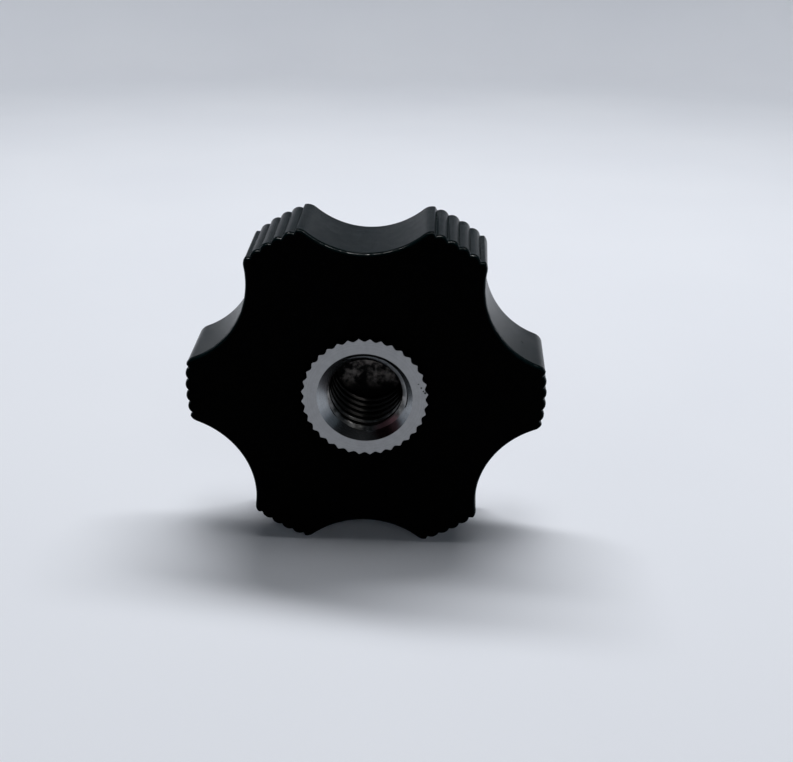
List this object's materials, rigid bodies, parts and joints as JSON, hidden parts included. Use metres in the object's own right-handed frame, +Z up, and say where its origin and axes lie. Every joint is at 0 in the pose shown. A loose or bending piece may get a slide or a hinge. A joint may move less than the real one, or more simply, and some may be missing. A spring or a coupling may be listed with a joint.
{
  "type": "star grip hand nut",
  "caption": "Black moulded star-shaped hand nut with serrated lobe tips and a knurled metal threaded bush, closed at the back.",
  "frame": {"origin": "on the thread axis, in the plane of the bush's annular seating face", "axes": "+Y along the thread axis from the mouth to the closed back, -Y out of the mouth, +Z up with the nut standing on two lobes, one lobe along +X"},
  "size_m": [0.0508, 0.0129, 0.0474],
  "materials": {
    "black_plastic": "moulded, semi-matt with a soft sheen",
    "bush_metal": "turned face, bright countersink, straight knurl"
  },
  "bodies": {
    "root": {"knob_body": "black_plastic", "threaded_insert": "bush_metal"}
  },
  "joints": []
}
